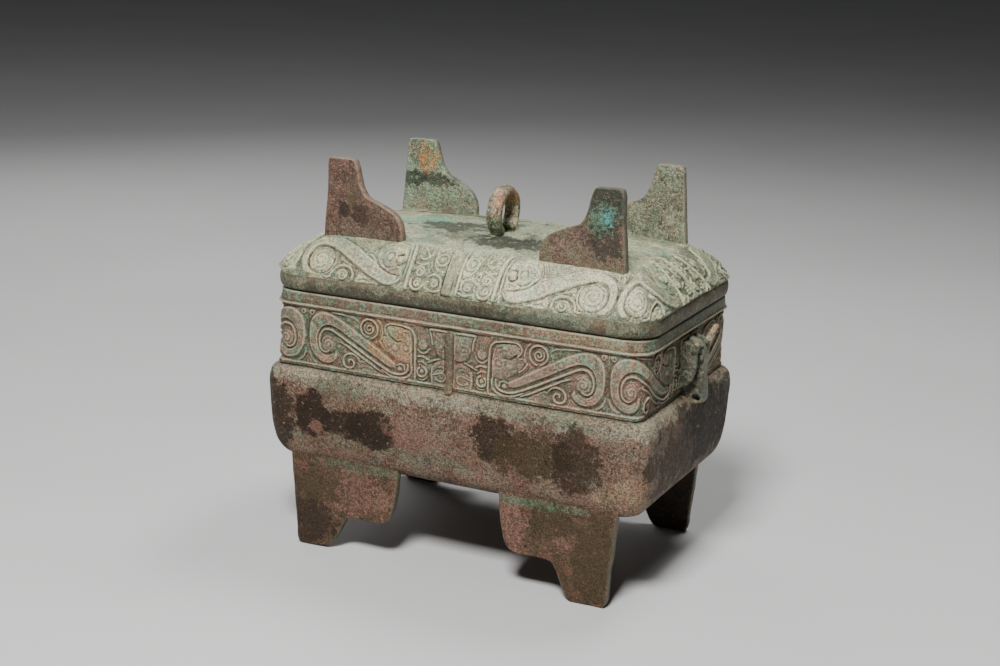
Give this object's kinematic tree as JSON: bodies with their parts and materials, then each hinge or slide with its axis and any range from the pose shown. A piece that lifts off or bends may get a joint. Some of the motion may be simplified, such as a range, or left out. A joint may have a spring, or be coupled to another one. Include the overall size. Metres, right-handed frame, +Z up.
{
  "type": "covered bronze food vessel",
  "caption": "Oblong cast bronze food vessel with rounded corners, flat bracket feet, small beast-head handles and a lift-off domed lid with upright plates and a ring handle.",
  "frame": {"origin": "middle of the footprint, on the ground under the feet", "axes": "+X along the vessel's length, towards one handle; +Y from the front to the back; +Z up"},
  "size_m": [0.246, 0.144, 0.2214],
  "materials": {
    "vessel_bronze": "cast bronze with red-brown, dark brown and green patina",
    "lid_bronze": "cast bronze with pale grey-green patina"
  },
  "bodies": {
    "root": {"vessel": "vessel_bronze", "lid": "lid_bronze"}
  },
  "joints": []
}
